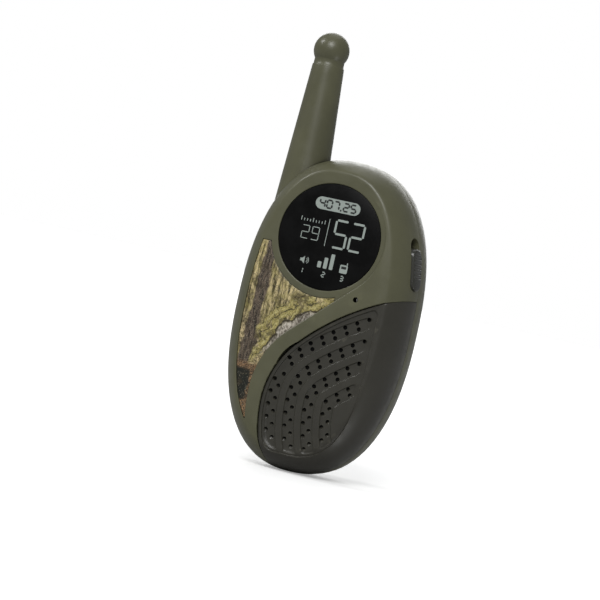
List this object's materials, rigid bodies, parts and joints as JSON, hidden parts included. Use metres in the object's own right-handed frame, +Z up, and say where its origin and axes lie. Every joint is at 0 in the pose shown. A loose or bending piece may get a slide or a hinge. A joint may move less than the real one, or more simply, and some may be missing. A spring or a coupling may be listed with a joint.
{
  "type": "toy walkie talkie",
  "caption": "Hand-held toy radio with an egg-shaped casing, fixed ball-tipped antenna, speaker grille, sliding power key, talk button, hinged battery door and belt clip",
  "frame": {"origin": "on the flat back, in the middle of the casing's width and height", "axes": "+X right seen from the front, +Y out of the back, +Z up along the antenna"},
  "size_m": [0.0598, 0.0391, 0.1416],
  "materials": {
    "olive_abs": "semi-matt moulded ABS, olive green",
    "cover_abs": "semi-matt moulded ABS, dark grey-olive",
    "key_abs": "smooth moulded ABS, dark grey",
    "printed_panel": "printed film with a woodland camouflage pattern",
    "printed_display": "printed black disc with pale markings",
    "black_plastic": "moulded, black",
    "white_plastic": "moulded, off-white",
    "steel": "zinc-plated steel",
    "tinned": "nickel-plated spring steel",
    "magnet": "sintered ferrite",
    "copper": "enamelled copper wire",
    "board": "phenolic board with green solder mask",
    "capacitor_sleeve": "shrink sleeve, dark blue",
    "cone_paper": "pressed paper cone",
    "wire_red": "PVC insulation, red",
    "wire_blue": "PVC insulation, blue",
    "battery_jacket": "plain light grey jacket with a green band"
  },
  "bodies": {
    "casing": {"front_shell": "olive_abs", "rear_shell": "olive_abs", "speaker_cover": "cover_abs", "camo_inlay": "printed_panel", "display_disc": "printed_display", "antenna": "olive_abs", "slide_switch": "steel", "talk_switch": "black_plastic", "talk_spring": "tinned", "pcb": "board", "pcb_screws": "steel", "chip": "black_plastic", "capacitors": "capacitor_sleeve", "coil_cans": "steel", "crystal": "steel", "microphone": "steel", "speaker_basket": "steel", "speaker_magnet": "magnet", "speaker_cone": "cone_paper", "speaker_ring": "black_plastic", "ring_screws": "steel", "speaker_wires": "wire_red", "mic_wires": "wire_blue", "battery_wires": "wire_red", "antenna_wire": "copper", "contact_plates": "tinned", "contact_springs": "tinned", "batteries": "battery_jacket", "case_screws": "steel"},
    "power_key": {"power_key": "key_abs", "slide_lever": "white_plastic"},
    "talk_button": {"talk_button": "key_abs", "talk_plunger": "white_plastic"},
    "battery_door": {"battery_door": "olive_abs"},
    "door_screw": {"door_screw": "steel"},
    "belt_clip": {"belt_clip": "olive_abs"}
  },
  "joints": [
    {"name": "power_slide", "type": "slide", "parent": "casing", "child": "power_key", "axis": [0, 0, 1], "range_m": [0, 0.0032]},
    {"name": "talk_press", "type": "slide", "parent": "casing", "child": "talk_button", "axis": [1, 0, 0], "range_m": [0, 0.0015], "stiffness_N_per_m": 300, "springref_m": -0.002, "deforming": ["talk_spring"]},
    {"name": "door_swing", "type": "hinge", "parent": "casing", "child": "battery_door", "pos_m": [0, -0.0012, -0.0396], "axis": [-1, 0, 0], "range_deg": [0, 90]},
    {"name": "screw_out", "type": "slide", "parent": "battery_door", "child": "door_screw", "axis": [0, 1, 0], "range_m": [0, 0.005]},
    {"name": "clip_off", "type": "slide", "parent": "casing", "child": "belt_clip", "axis": [0, 0, 1], "range_m": [0, 0.016]}
  ]
}
